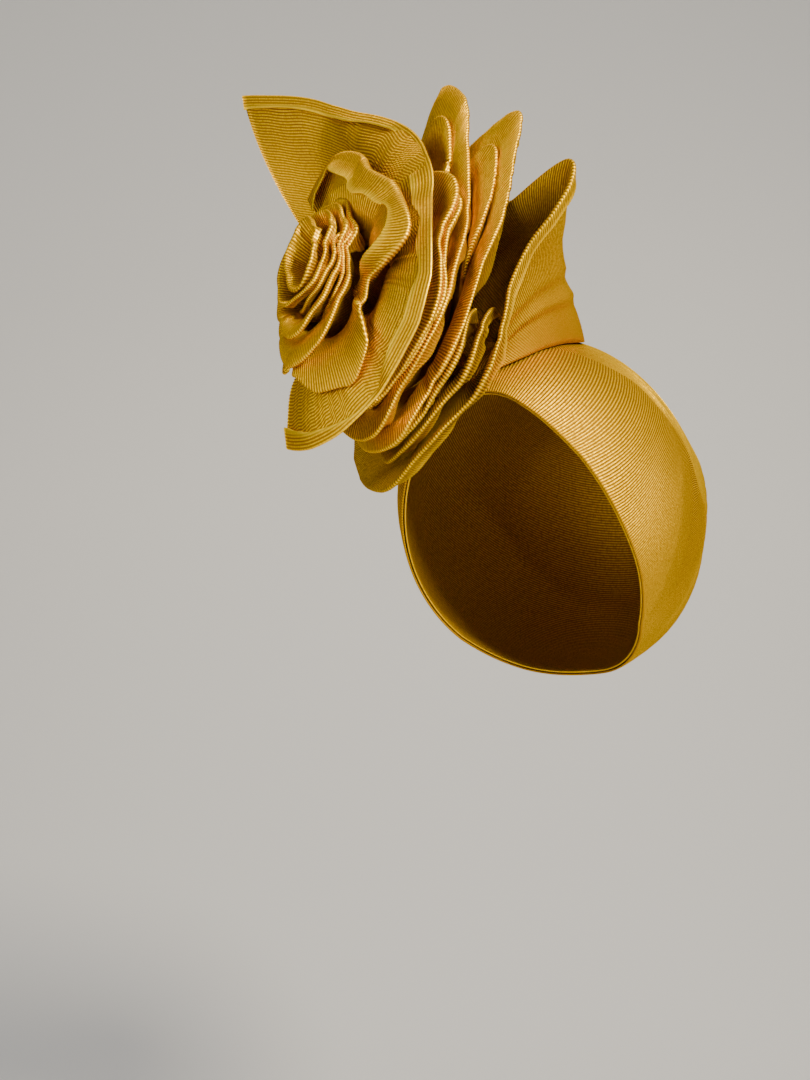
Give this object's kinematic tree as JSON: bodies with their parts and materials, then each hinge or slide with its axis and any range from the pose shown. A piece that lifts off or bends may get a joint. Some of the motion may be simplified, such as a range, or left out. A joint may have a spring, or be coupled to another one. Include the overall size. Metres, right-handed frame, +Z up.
{
  "type": "tied gele head tie",
  "caption": "Gele head tie of ribbed gold cloth: a wide band and cap wrapped round the head, tied in a rose of standing petals above the brow.",
  "frame": {"origin": "middle of the head that the wrap fits, at brow level", "axes": "+X to the wearer's left, -Y out of the wearer's face, +Z up through the crown"},
  "size_m": [0.2154, 0.3229, 0.3356],
  "materials": {
    "wrap_cloth": "ribbed metallic gold cloth, satin",
    "petal_cloth": "ribbed metallic gold cloth, bright on the folded lips"
  },
  "bodies": {
    "root": {"crown_cap": "wrap_cloth", "head_band": "wrap_cloth", "wrap_swathe": "wrap_cloth", "heart_roll": "petal_cloth", "peak_right": "petal_cloth", "peak_middle": "petal_cloth", "fold_far": "petal_cloth", "fold_wide": "petal_cloth", "fold_slim": "petal_cloth", "fan_petal": "petal_cloth", "far_petal": "petal_cloth", "hood_petal": "petal_cloth", "pleat_outer": "petal_cloth", "pleat_middle": "petal_cloth", "pleat_inner": "petal_cloth"}
  },
  "joints": []
}
